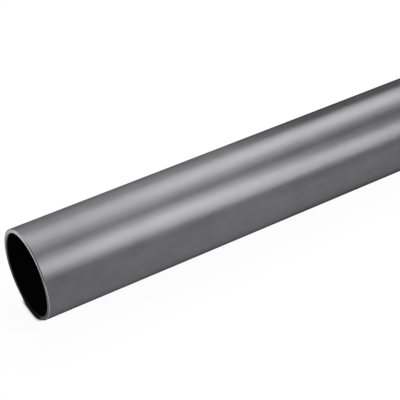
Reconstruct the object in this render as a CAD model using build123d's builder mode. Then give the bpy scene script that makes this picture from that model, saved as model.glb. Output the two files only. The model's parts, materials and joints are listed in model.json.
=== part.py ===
"""A length of grey plastic drain pipe, sawn square and deburred at both ends, lying on the ground."""
from build123d import *
import os

# Sizes in millimetres
outer_diameter = 75.0
wall_thickness = 3.6
pipe_length = 2000.0
outer_bevel_width = 0.4  # taken off the sawn face where the burr is pared away outside
outer_bevel_depth = 0.8  # and along the pipe, so the bevel lies close to the wall
inner_bevel_width = 0.6  # the same two sizes of the bevel round the bore
inner_bevel_depth = 0.8

outer_radius = outer_diameter / 2
bore_radius = outer_radius - wall_thickness

# The origin is on the ground below the middle of the pipe, and the pipe runs along X
left_end = Plane(origin=(-pipe_length / 2, 0, outer_radius), x_dir=(0, 1, 0), z_dir=(1, 0, 0))

with BuildPart() as drain_pipe:
    # The extruded wall, one ring all the way along
    with BuildSketch(left_end):
        Circle(outer_radius)
        Circle(bore_radius, mode=Mode.SUBTRACT)
    extrude(amount=pipe_length)

    # The pared edges of both sawn faces, outside and then inside
    for side in (0, -1):
        sawn_face = drain_pipe.faces().filter_by(GeomType.PLANE).sort_by(Axis.X)[side]
        outer_edge = sawn_face.edges().sort_by(SortBy.RADIUS)[-1]
        chamfer(outer_edge, length=outer_bevel_width, length2=outer_bevel_depth, reference=sawn_face)
        sawn_face = drain_pipe.faces().filter_by(GeomType.PLANE).sort_by(Axis.X)[side]
        inner_edge = sawn_face.edges().sort_by(SortBy.RADIUS)[0]
        chamfer(inner_edge, length=inner_bevel_width, length2=inner_bevel_depth, reference=sawn_face)

drain_pipe.part.label = "drain_pipe"

os.makedirs("parts", exist_ok=True)
export_step(drain_pipe.part, "parts/drain_pipe.step")
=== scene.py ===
"""A length of grey plastic drain pipe lying on a pale studio floor."""
import json
from math import cos, pi, radians, sin, tan

import bpy
import numpy as np
from mathutils import Matrix, Vector


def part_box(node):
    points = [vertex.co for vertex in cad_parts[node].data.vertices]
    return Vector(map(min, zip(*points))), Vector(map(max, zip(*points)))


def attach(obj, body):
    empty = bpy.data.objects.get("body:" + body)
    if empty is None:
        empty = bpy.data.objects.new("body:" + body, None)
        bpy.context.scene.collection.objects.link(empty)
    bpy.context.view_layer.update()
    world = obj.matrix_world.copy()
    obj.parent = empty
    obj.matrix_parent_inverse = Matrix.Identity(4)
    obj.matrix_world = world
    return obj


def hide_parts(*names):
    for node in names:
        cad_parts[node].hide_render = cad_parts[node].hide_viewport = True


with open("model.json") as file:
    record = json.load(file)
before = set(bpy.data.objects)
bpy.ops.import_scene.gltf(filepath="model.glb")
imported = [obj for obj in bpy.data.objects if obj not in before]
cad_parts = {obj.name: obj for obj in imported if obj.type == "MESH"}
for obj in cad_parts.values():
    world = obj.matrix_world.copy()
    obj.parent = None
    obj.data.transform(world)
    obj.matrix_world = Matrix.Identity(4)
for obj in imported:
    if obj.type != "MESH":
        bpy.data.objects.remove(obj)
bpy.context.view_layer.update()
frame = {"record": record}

# Sizes in metres, from the frame
MM = 0.001
cad_low, cad_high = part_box("drain_pipe")
left_x, right_x = cad_low.x, cad_high.x
pipe_length = right_x - left_x
mounts = {mount["name"]: mount for mount in frame["record"]["mounts"]}
outer_radius = mounts["left_spigot"]["dims"]["r_mm"] * MM
bore_radius = mounts["bore"]["dims"]["r_mm"] * MM
outer_bevel_depth = (pipe_length - mounts["left_spigot"]["dims"]["length_mm"] * MM) / 2
inner_bevel_depth = (pipe_length - mounts["bore"]["dims"]["length_mm"] * MM) / 2
axis_height = mounts["bore"]["pos_m"][2]

# Sizes in metres that the frame doesn't give
outer_bevel_width = 0.4 * MM
inner_bevel_width = 0.6 * MM
crown = 0.2 * MM  # the sawn face stands this far out at the middle of the wall
face_middle = (outer_radius - outer_bevel_width + bore_radius + inner_bevel_width) / 2
face_half = outer_radius - outer_bevel_width - face_middle

# Levels of the plastic, as linear grey
# The wall away from the ends is painted darker, as shade
WALL, SHADED_FAR_WALL = 0.082, 0.063
# The cut's face and inner bevel are painted light where lit at the top and darker where shaded below
LIT_FACE, SHADED_FACE = 0.42, 0.08
LIT_BEVEL, SHADED_BEVEL = 0.102, 0.027
# The pared edge is pale; at the front of the top it is painted dark, as shade
PALE_EDGE, GREY_EDGE, DARK_SHADED_EDGE = 0.29, 0.09, 0.01
# The bore is painted near black, as shade inside the pipe
BORE = 0.004
WALL_TINT = (0.985, 0.975, 1.045)  # the wall is slightly cool, and the cut is neutral
GLOSS_TINT = (0.94, 0.925, 1.0, 1.0)

# Roughness of the plastic
WALL_ROUGHNESS, HANDLED_ROUGHNESS = 0.295, 0.45
COAT_ROUGHNESS = 0.28
CUT_ROUGHNESS = 0.55
BORE_ROUGHNESS = 0.9


class Value:
    """A shader socket that takes part in Python arithmetic, each operation adding its Math node."""

    def __init__(self, shader, socket):
        self.shader = shader
        self.socket = socket

    def math(self, operation, *others):
        return self.shader.node("ShaderNodeMath", {"operation": operation}, self, *others)

    def __add__(self, other):
        return self.math("ADD", other)

    def __radd__(self, other):
        return self.math("ADD", other)

    def __sub__(self, other):
        return self.math("SUBTRACT", other)

    def __rsub__(self, other):
        return self.shader.node("ShaderNodeMath", {"operation": "SUBTRACT"}, other, self)

    def __mul__(self, other):
        return self.math("MULTIPLY", other)

    def __rmul__(self, other):
        return self.math("MULTIPLY", other)

    def __truediv__(self, other):
        return self.math("DIVIDE", other)

    def __pow__(self, other):
        return self.math("POWER", other)

    def __abs__(self):
        return self.math("ABSOLUTE")

    def at_least(self, other):
        """The larger of the two."""
        return self.math("MAXIMUM", other)

    def clamp(self):
        """The value held between 0 and 1."""
        return self.at_least(0.0).math("MINIMUM", 1.0)

    def ramp(self, start, end):
        """0 up to start, 1 from end on and a smooth rise between; start above end gives a fall."""
        low, high, at_low, at_high = (start, end, 0.0, 1.0) if start < end else (end, start, 1.0, 0.0)
        settings = {"interpolation_type": "SMOOTHSTEP"}
        return self.shader.node("ShaderNodeMapRange", settings, self, low, high, at_low, at_high)


class Shader:
    """The node tree of a material or a world, with a method that adds any node."""

    def __init__(self, owner):
        self.owner = owner
        owner.use_nodes = True
        self.tree = owner.node_tree
        self.tree.nodes.clear()

    def plug(self, value, socket):
        """Links a value to a socket, or sets the socket to a number, a colour or a vector."""
        if isinstance(value, Value):
            self.tree.links.new(value.socket, socket)
        else:
            socket.default_value = value

    def node(self, kind, settings=None, *values, output=0, **named):
        """Adds a node and gives one output: settings first, then sockets by place and by name."""
        made = self.tree.nodes.new(kind)
        for key, setting in (settings or {}).items():
            setattr(made, key, setting)
        for place, value in enumerate(values):
            self.plug(value, made.inputs[place])
        for name, value in named.items():
            self.plug(value, made.inputs[name.replace("_", " ")])
        return Value(self, made.outputs[output])

    def colour_mix(self, factor, first, second):
        """A colour between two colours. The Mix node's colour sockets are found by their places."""
        made = self.tree.nodes.new("ShaderNodeMix")
        made.data_type = "RGBA"
        for place, value in ((0, factor), (6, first), (7, second)):
            self.plug(value, made.inputs[place])
        return Value(self, made.outputs[2])

    def noise(self, x, y, z, detail, roughness):
        """Soft noise around 0, at a place whose unit is about one wave."""
        place = self.node("ShaderNodeCombineXYZ", None, x, y, z)
        return self.node("ShaderNodeTexNoise", Vector=place, Scale=1.0, Detail=detail,
                         Roughness=roughness) - 0.5

    def ray_kinds(self):
        """1 for a ray from the camera, off a mirror and through glass, as three values."""
        names = ("Is Camera Ray", "Is Glossy Ray", "Is Transmission Ray")
        return [self.node("ShaderNodeLightPath", output=name) for name in names]

    def matt(self, colour, **named):
        """A surface of the given colour without any gloss."""
        return self.node("ShaderNodeBsdfPrincipled", Base_Color=colour, Roughness=1.0,
                         Specular_IOR_Level=0.0, **named)

    def finish(self, surface, output="ShaderNodeOutputMaterial"):
        """Joins the surface to the tree's output, and gives the material or the world."""
        self.plug(surface, self.tree.nodes.new(output).inputs["Surface"])
        return self.owner


class PipeShader(Shader):
    """A material's tree that knows where on the pipe a point lies. Masks run from 0 to 1."""

    def __init__(self, name):
        super().__init__(bpy.data.materials.new(name))
        place = self.node("ShaderNodeTexCoord", output="Object")
        self.x, self.y, z = (self.node("ShaderNodeSeparateXYZ", None, place, output=axis)
                             for axis in "XYZ")
        self.height = z - axis_height
        self.radius = (self.y * self.y + self.height * self.height) ** 0.5
        self.from_end = pipe_length / 2 - abs(self.x)

        self.in_bore = self.radius.ramp(bore_radius + 0.08 * MM, bore_radius + 0.02 * MM)
        self.sawn = self.from_end.ramp(crown + 0.12 * MM, crown + 0.04 * MM) * (1 - self.in_bore)
        self.inner_bevel = self.radius.ramp(bore_radius + 1.3 * inner_bevel_width,
                                            bore_radius + 1.1 * inner_bevel_width)
        self.cut = self.sawn.at_least(self.inner_bevel * (1 - self.in_bore))
        outer_bevel = self.from_end.ramp(1.1 * outer_bevel_depth, 0.9 * outer_bevel_depth)
        self.pared = outer_bevel * (1 - self.cut) * (1 - self.in_bore)
        # Hardly any edge is pared away at the back of the top, and there the cut's outer rim is painted
        # darker as shade
        self.top_back = self.towards(y=0.87, up=0.5).ramp(0.75, 0.95)
        # At the front of the top, the pared edge is painted dark as shade and has no gloss
        self.smooth_edge = self.towards(y=-0.57, up=0.82).ramp(0.83, 0.95) * self.pared

    def towards(self, y, up):
        """1 where a point lies from the axis in the given direction, and less round the turn."""
        return (self.height * up + self.y * y) / self.radius

    def uneven(self, along, across, detail, roughness):
        """Soft noise around 0, with so many waves to the metre along the pipe and across it."""
        return self.noise(self.x * along, self.y * across, self.height * across, detail, roughness)


def grey(level):
    return (level, level, level, 1.0)


def blend(first, second, share):
    """What lies the given share of the way from the first to the second."""
    return first + (second - first) * share


def turn_angles(turns):
    return np.arange(turns) * 2 * pi / turns


def rounded_loop(corners, radius, steps):
    """A closed section with each corner replaced by a tangent arc.

    corners is an array (corner, turn, 2) of axial place and radius, one loop for each turn angle.
    At a corner the arc runs from one side to the other at radius / tan(half the inner angle) from
    the corner, on a circle centred along the two sides' bisector.
    """
    before = np.roll(corners, 1, axis=0) - corners
    after = np.roll(corners, -1, axis=0) - corners
    before /= np.linalg.norm(before, axis=-1, keepdims=True)
    after /= np.linalg.norm(after, axis=-1, keepdims=True)
    half = np.arccos(np.clip((before * after).sum(-1), -1, 1)) / 2
    bisector = before + after
    bisector /= np.linalg.norm(bisector, axis=-1, keepdims=True)
    centre = corners + bisector * (radius / np.sin(half))[..., None]
    side = before - (before * bisector).sum(-1, keepdims=True) * bisector
    side /= np.linalg.norm(side, axis=-1, keepdims=True)
    sweep = pi / 2 - half
    share = np.linspace(1, -1, steps)[None, :, None]
    angle = sweep[:, None, :] * share
    return (centre[:, None] - radius * np.cos(angle)[..., None] * bisector[:, None]
            + radius * np.sin(angle)[..., None] * side[:, None])


def along(start, end, shares):
    """Rows between two rows of points, at the given shares of the way."""
    return start[None] + np.asarray(shares)[:, None, None] * (end - start)[None]


def shell_mesh(name, loops):
    """A closed ring surface from loops, an array (place, turn, 2) of axial place and radius.

    The turn angle runs from the front round over the top: y is minus radius times its cosine, and
    height is the axis height plus radius times its sine. Both directions of the grid are closed.
    """
    places, turns = loops.shape[:2]
    count = places * turns
    angle = turn_angles(turns)
    x, r = loops[..., 0], loops[..., 1]
    points = np.stack([x, -r * np.cos(angle), axis_height + r * np.sin(angle)], axis=-1)
    i, j = np.meshgrid(np.arange(places), np.arange(turns), indexing="ij")
    i_next, j_next = (i + 1) % places, (j + 1) % turns
    quads = np.stack([i * turns + j, i * turns + j_next,
                      i_next * turns + j_next, i_next * turns + j], axis=-1)
    mesh = bpy.data.meshes.new(name)
    mesh.vertices.add(count)
    mesh.vertices.foreach_set("co", points.reshape(-1))
    mesh.loops.add(count * 4)
    mesh.loops.foreach_set("vertex_index", quads.reshape(-1).astype(np.int32))
    mesh.polygons.add(count)
    mesh.polygons.foreach_set("loop_start", np.arange(count, dtype=np.int32) * 4)
    mesh.polygons.foreach_set("use_smooth", np.ones(count, dtype=bool))
    mesh.update(calc_edges=True)
    mesh.validate()
    return mesh


def knife_work(turns, seed):
    """How much a pared edge grows and shrinks round the turn, around 1.

    It is a sum of sines of the turn angle with random phases. The sine of a given order is divided
    by the square root of the order, so longer waves are larger.
    """
    largest, waves = 0.12, 23
    draw = np.random.default_rng(seed)
    order = np.arange(2, 2 + waves)[:, None]
    phase = draw.uniform(0, 2 * pi, (waves, 1))
    waver = (np.sin(order * turn_angles(turns) + phase) / np.sqrt(order)).sum(axis=0)
    return 1 + largest * waver / np.abs(waver).max()


def pipe_shell():
    """The pipe as one skin: outer wall, pared edges, sawn faces and bore.

    The share of the outer edge that is left unpared at the back of the left end's top is 0.75 at its
    middle, times the sixth power of the cosine of the turn angle from there. The sawn face stands
    out by the crown at the middle of the wall, and less by the square of the distance from it.
    """
    turns = 360
    rounding, arc_steps = 0.12 * MM, 5
    unpared, unpared_turn = 0.75, radians(148)

    def row(x, r):
        return np.stack([np.broadcast_to(x, turns), np.broadcast_to(r, turns)], axis=-1)

    outer_left, outer_right, inner_left, inner_right = (knife_work(turns, seed)
                                                        for seed in (3, 5, 7, 11))
    from_unpared = turn_angles(turns) - unpared_turn
    outer_left *= 1 - unpared * np.clip(np.cos(from_unpared), 0, 1) ** 6
    corners = np.stack([
        row(left_x, bore_radius + inner_left * inner_bevel_width),
        row(left_x, outer_radius - outer_left * outer_bevel_width),
        row(left_x + outer_left * outer_bevel_depth, outer_radius),
        row(right_x - outer_right * outer_bevel_depth, outer_radius),
        row(right_x, outer_radius - outer_right * outer_bevel_width),
        row(right_x, bore_radius + inner_right * inner_bevel_width),
        row(right_x - inner_right * inner_bevel_depth, bore_radius),
        row(left_x + inner_left * inner_bevel_depth, bore_radius),
    ])
    arcs = rounded_loop(corners, rounding, arc_steps)

    # The wall and the bore have two close rows by each end and even rows between
    long_sides = (2, 6)
    close = 0.4 * MM / pipe_length
    even_rows = np.linspace(0, 1, 41)[1:-1]
    long_shares = np.concatenate([[close, 8 * close], even_rows, [1 - 8 * close, 1 - close]])
    short_shares = np.linspace(0.1, 0.9, 7)
    rows = []
    for index, arc in enumerate(arcs):
        next_arc = arcs[(index + 1) % len(arcs)]
        shares = long_shares if index in long_sides else short_shares
        rows += [arc, along(arc[-1], next_arc[0], shares)]
    loops = np.concatenate(rows)

    x, r = loops[..., 0], loops[..., 1]
    across = np.clip((r - face_middle) / face_half, -1, 1)
    near_end = np.clip(1 - (right_x - np.abs(x)) / outer_bevel_depth, 0, 1)
    loops[..., 0] -= np.sign(x) * crown * across ** 2 * near_end
    return shell_mesh("drain_pipe_shell", loops)


def cut_finish(pipe, saw_marks):
    """The level of the cut, and the share of it painted as lit rather than shaded.

    It is painted light at the top as lit, darker towards the bottom as shade and nearly black where it
    meets the floor as a painted contact shadow. At the back of the top its outer rim is painted darker
    as shade.
    """
    # Blotches in the cut's painted shade
    shade_wobble = pipe.uneven(along=40, across=40, detail=3.0, roughness=0.6)
    lighter_upwards, lit_at_side, contrast = 0.56, 0.44, 2.1
    upward = pipe.towards(y=0.14, up=0.99) + shade_wobble * 0.3
    lit_share = (upward * lighter_upwards + lit_at_side).clamp() ** contrast
    # Painted contact shadow, nearly black where the cut meets the floor
    contact_shade = (pipe.towards(y=-0.09, up=-1.0) + shade_wobble * 0.1).ramp(0.80, 0.95)
    # Painted shade on the cut's outer rim at the back of the top
    shaded_rim = pipe.top_back * pipe.radius.ramp(outer_radius - 1.0 * MM, outer_radius - 0.6 * MM)

    # The share of its level that each part loses or gains
    face_by_contact_shade, bevel_by_contact_shade, by_shaded_rim, by_saw_marks = 0.95, 0.5, 0.65, 0.5
    face = blend(SHADED_FACE, LIT_FACE, lit_share) * (1 - face_by_contact_shade * contact_shade)
    face = face * (1 + saw_marks * by_saw_marks)
    bevel = blend(SHADED_BEVEL, LIT_BEVEL, lit_share) * (1 - bevel_by_contact_shade * contact_shade)
    return blend(face, bevel, pipe.inner_bevel) * (1 - by_shaded_rim * shaded_rim), lit_share


def drain_plastic():
    """Extruded grey plastic: satin wall with drawn lines, pale sawn ends with painted shade and a bore
    painted near black as shade.
    """
    pipe = PipeShader("extruded_grey_plastic")
    cut, in_bore, sawn = pipe.cut, pipe.in_bore, pipe.sawn

    # Drawn lines run the whole length, so their noise is stretched along the pipe
    lines = pipe.uneven(along=1.2, across=420, detail=3.0, roughness=0.6)
    broad_lines = pipe.uneven(along=0.6, across=70, detail=2.0, roughness=0.5)
    clouds = pipe.uneven(along=30, across=45, detail=3.5, roughness=0.65)
    peel = pipe.uneven(along=90, across=260, detail=1.0, roughness=0.5)
    grain = pipe.uneven(along=2600, across=2600, detail=2.0, roughness=0.5)

    # Saw marks cross the end faces in one direction, with the scatter of a hand saw
    saw_across = pipe.y * 0.94 + pipe.height * 0.34
    saw_along = pipe.height * 0.94 - pipe.y * 0.34
    saw_marks = pipe.noise(saw_along * 90, saw_across * 2600, 0.0, 3.0, 0.6)

    # By the ends, where it has been handled, the wall is duller; away from them its colour is painted
    # darker as shade
    far_from_end = pipe.from_end.ramp(0.15, 0.29)
    handled = pipe.from_end.ramp(0.34, -0.02)

    wall = blend(WALL, SHADED_FAR_WALL, far_from_end)
    wall = wall + lines * 0.022 + broad_lines * 0.014 + clouds * 0.065
    wall_colour = pipe.node("ShaderNodeCombineColor", None, *(wall * tint for tint in WALL_TINT))
    cut_level, lit_share = cut_finish(pipe, saw_marks)
    cut_colour = pipe.node("ShaderNodeCombineColor", None, cut_level, cut_level, cut_level)
    edge_colour = pipe.colour_mix(pipe.top_back, grey(PALE_EDGE), grey(GREY_EDGE))
    # The pared edge at the front of the top is painted dark as shade
    edge_colour = pipe.colour_mix(pipe.smooth_edge, edge_colour, grey(DARK_SHADED_EDGE))
    colour = pipe.colour_mix(pipe.pared, wall_colour, edge_colour)
    colour = pipe.colour_mix(cut, colour, cut_colour)
    # The bore is painted near black, as shade inside the pipe
    colour = pipe.colour_mix(in_bore, colour, grey(BORE))

    wall_roughness = blend(WALL_ROUGHNESS, HANDLED_ROUGHNESS, handled)
    wall_roughness = wall_roughness + lines * 0.04 + clouds * 0.04
    roughness = blend(blend(wall_roughness, CUT_ROUGHNESS, cut), BORE_ROUGHNESS, in_bore)
    skin = (0.9 + clouds * 0.25) * (1 - cut) * (1 - in_bore)

    # Heights in millimetres
    relief = broad_lines * 0.03 + clouds * 0.12 + peel * 0.13 + lines * 0.022 + grain * 0.002
    relief = relief * (1 - sawn) + saw_marks * 0.03 * sawn
    bump = pipe.node("ShaderNodeBump", Strength=1.0, Distance=MM, Height=relief)
    satin = pipe.node("ShaderNodeBsdfPrincipled", Base_Color=colour, Roughness=roughness,
                      Normal=bump, IOR=1.5, Specular_Tint=GLOSS_TINT,
                      Coat_Weight=skin, Coat_Roughness=COAT_ROUGHNESS, Coat_IOR=1.5)

    # The skin's fine grain scatters light that only grazes it, so the gloss dies away there, and
    # away from the end its colour there is painted darker as shade, most of all on the back of the top
    front_edge_shade, back_edge_shade = 0.5, 0.75
    full_gloss, no_gloss = 0.222, 0.963  # 1 less the cosine of the view's angle to the surface
    bore_dullness = 0.97
    towards_back = pipe.towards(y=0.70, up=0.71).ramp(-0.2, 0.6)
    edge_shade = far_from_end * blend(front_edge_shade, back_edge_shade, towards_back) * (1 - cut)
    dull = pipe.matt(pipe.colour_mix(edge_shade, colour, grey(0.0)), Normal=bump)
    facing_away = pipe.node("ShaderNodeLayerWeight", Blend=0.5, output="Facing")
    # The cut's painted shade and the shaded front edge lose their gloss
    shaded_cut = (1 - lit_share) * cut
    dulled = facing_away.ramp(full_gloss, no_gloss).at_least(in_bore * bore_dullness)
    dulled = dulled.at_least(shaded_cut).at_least(pipe.smooth_edge)
    return pipe.finish(pipe.node("ShaderNodeMixShader", None, dulled, satin, dull))


def studio_floor():
    """A pale floor that the camera and reflections see as white, with the pipe's shadow kept."""
    seen_white, mirrored_white = 0.95, 0.62  # the rest of what they see is lit paint
    seen_paint, unseen_paint = grey(0.85), grey(0.35)
    # The contact shadow is full at the first share of open air within its reach, and none at the second
    contact_reach, dark_air, clear_air = 3.5 * MM, 0.45, 0.90
    shader = Shader(bpy.data.materials.new("pale_floor"))
    camera, glossy, through = shader.ray_kinds()
    white_share = (camera * seen_white).at_least(glossy.at_least(through) * mirrored_white)
    # Close to the pipe the floor lies in its contact shadow
    open_air = shader.node("ShaderNodeAmbientOcclusion", {"samples": 16}, Distance=contact_reach,
                           output="AO")
    shade = 1 - open_air.ramp(dark_air, clear_air)
    paint_colour = shader.colour_mix(camera, unseen_paint, seen_paint)
    paint = shader.matt(shader.colour_mix(shade, paint_colour, grey(0.0)))
    white = shader.node("ShaderNodeEmission", Color=grey(1.0), Strength=1.0)
    return shader.finish(
        shader.node("ShaderNodeMixShader", None, white_share * (1 - shade), paint, white))


def add_floor():
    """One flat square, wide enough to fill the view from any side."""
    half = 12.0
    mesh = bpy.data.meshes.new("studio_floor")
    corners = [(-half, -half, 0), (half, -half, 0), (half, half, 0), (-half, half, 0)]
    mesh.from_pydata(corners, [], [(0, 1, 2, 3)])
    floor = bpy.data.objects.new("studio_floor", mesh)
    bpy.context.scene.collection.objects.link(floor)
    mesh.materials.append(studio_floor())


def add_camera():
    """A long lens looking down on the left end, which lies left of and below the middle."""
    frame_pixels, focal_pixels = 400, 1369.6
    look_down, turn = radians(39.864), radians(-32.088)
    # From the camera to the middle of the cut, in outer radii
    end_right, end_up, end_ahead = -3.5401, -1.5311, 27.8762
    ahead = Vector((-sin(turn) * cos(look_down), cos(turn) * cos(look_down), -sin(look_down)))
    right = Vector((cos(turn), sin(turn), 0))
    up = right.cross(ahead)
    end_centre = Vector((left_x, 0, axis_height))
    offset = end_right * right + end_up * up + end_ahead * ahead
    camera_data = bpy.data.cameras.new("camera")
    camera_data.sensor_width = 36.0
    camera_data.lens = focal_pixels / frame_pixels * camera_data.sensor_width
    camera_data.clip_start = 0.01
    camera = bpy.data.objects.new("camera", camera_data)
    turned = Matrix((right, up, -ahead)).transposed().to_4x4()
    camera.matrix_world = Matrix.Translation(end_centre - offset * outer_radius) @ turned
    bpy.context.scene.collection.objects.link(camera)
    bpy.context.scene.camera = camera


def add_lamp(name, place, long_side, away, length, width, radiance):
    """A rectangle of light of the given radiance, which shines against the direction away."""
    lamp = bpy.data.lights.new(name, "AREA")
    lamp.shape = "RECTANGLE"
    lamp.size, lamp.size_y = length, width
    lamp.energy = radiance * length * width * pi
    box = bpy.data.objects.new(name, lamp)
    turned = Matrix((long_side, away.cross(long_side), away)).transposed().to_4x4()
    box.matrix_world = Matrix.Translation(place) @ turned
    bpy.context.scene.collection.objects.link(box)


def add_soft_box(name, rise, skew, arc, x_from, x_to, radiance):
    """A long lamp beside the pipe, facing it, with its angles in degrees.

    rise is the lamp's angle above the front horizon, skew the turn of its long side away from the
    pipe's direction, and arc the angle that it spans round the pipe.
    """
    distance = 1.3
    angle, turn = radians(rise), radians(skew)
    away = Vector((0, -cos(angle), sin(angle)))
    along_pipe = Vector((1, 0, 0))
    long_side = cos(turn) * along_pipe + sin(turn) * away.cross(along_pipe)
    place = Vector(((x_from + x_to) / 2, 0, axis_height)) + distance * away
    width = 2 * distance * tan(radians(arc) / 2)
    add_lamp(name, place, long_side, away, x_to - x_from, width, radiance)


def add_end_box(name, end_x):
    """A square lamp before a sawn end, a little above its axis and in front of it, facing it."""
    distance, size, radiance = 1.0, 0.5, 11.3
    outwards = 0.975 if end_x > 0 else -0.975
    away = Vector((outwards, -0.05, 0.21)).normalized()
    level_side = Vector((0, 0, 1)).cross(away).normalized()
    place = Vector((end_x, 0, axis_height)) + distance * away
    add_lamp(name, place, level_side, away, size, size, radiance)


def add_light():
    """Lamps for the left end, as in the photograph, and then for the half that it doesn't show."""
    add_soft_box("front_soft_box", rise=38.0, skew=-19.4, arc=32.6,
                 x_from=-0.70, x_to=0.28, radiance=5.71)
    add_soft_box("front_fill", rise=54.2, skew=-19.4, arc=33.9,
                 x_from=-0.70, x_to=-0.20, radiance=4.05)
    add_soft_box("back_fill", rise=111.8, skew=17.4, arc=42.7,
                 x_from=-0.82, x_to=0.47, radiance=2.25)
    add_soft_box("back_soft_box", rise=126.9, skew=17.4, arc=42.1,
                 x_from=-0.78, x_to=0.62, radiance=2.58)
    add_soft_box("low_card", rise=154.8, skew=0.0, arc=40.0,
                 x_from=-1.60, x_to=-0.14, radiance=0.88)
    add_end_box("left_end_lamp", left_x)
    add_soft_box("front_right_box", rise=42.0, skew=0.0, arc=36.0,
                 x_from=0.60, x_to=1.30, radiance=5.0)
    add_soft_box("back_right_box", rise=122.0, skew=0.0, arc=44.0,
                 x_from=0.90, x_to=1.40, radiance=3.0)
    add_end_box("right_end_lamp", right_x)


def add_air():
    """Dim air round the lamps, which the camera sees as white and reflections as a pale grey."""
    mirrored_level, dim_level = 0.12, 0.05
    shader = Shader(bpy.data.worlds.new("studio_air"))
    camera, glossy, through = shader.ray_kinds()
    level = camera.at_least(glossy * mirrored_level).at_least(through * mirrored_level)
    air = shader.node("ShaderNodeBackground", Color=grey(1.0), Strength=level.at_least(dim_level))
    bpy.context.scene.world = shader.finish(air, "ShaderNodeOutputWorld")


pipe_object = bpy.data.objects.new("drain_pipe_shell", pipe_shell())
bpy.context.scene.collection.objects.link(pipe_object)
pipe_object.data.materials.append(drain_plastic())
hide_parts("drain_pipe")
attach(pipe_object, "root")

add_floor()
add_light()
add_air()
add_camera()
bpy.context.scene.view_settings.view_transform = "Standard"
